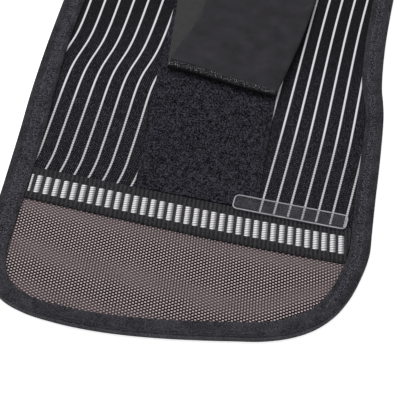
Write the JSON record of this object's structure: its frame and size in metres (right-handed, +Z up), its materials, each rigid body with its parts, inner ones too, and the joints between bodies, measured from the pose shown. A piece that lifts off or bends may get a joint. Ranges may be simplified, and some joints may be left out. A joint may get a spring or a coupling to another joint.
{
  "type": "lumbar support belt",
  "caption": "Wide elastic back support belt, lying open, with rounded nylon ends, knit edge binding, loop panels and a tension strap.",
  "frame": {"origin": "middle of the belt's footprint, on the surface that it lies on", "axes": "+Y along the belt's length, away from the end with the clear tag; +X to the right seen from that end; +Z up, out of the belt's outer side"},
  "size_m": [0.2108, 0.8842, 0.0172],
  "materials": {
    "elastic": "black ribbed elastic with silver-grey lengthwise stripes",
    "nylon": "coarse ballistic nylon, warm grey",
    "webbing": "black webbing with a row of light grey woven blocks",
    "loop_pile": "fuzzy loop pile, near black",
    "strap_fabric": "smooth fine woven elastic, dark grey",
    "binding_knit": "charcoal stretch knit binding tape",
    "hook_tape": "black hook tape",
    "clear_plastic": "clear soft plastic, bare, with a light rim"
  },
  "bodies": {
    "root": {"elastic_body": "elastic", "end_panel_near": "nylon", "end_panel_far": "nylon", "ladder_tape_near": "webbing", "ladder_tape_far": "webbing", "loop_panel_near": "loop_pile", "loop_panel_far": "loop_pile", "tension_strap": "strap_fabric", "strap_hook_tab_near": "hook_tape", "strap_hook_tab_far": "hook_tape", "edge_binding": "binding_knit", "tag": "clear_plastic", "closure_hook_pad": "hook_tape"}
  },
  "joints": []
}
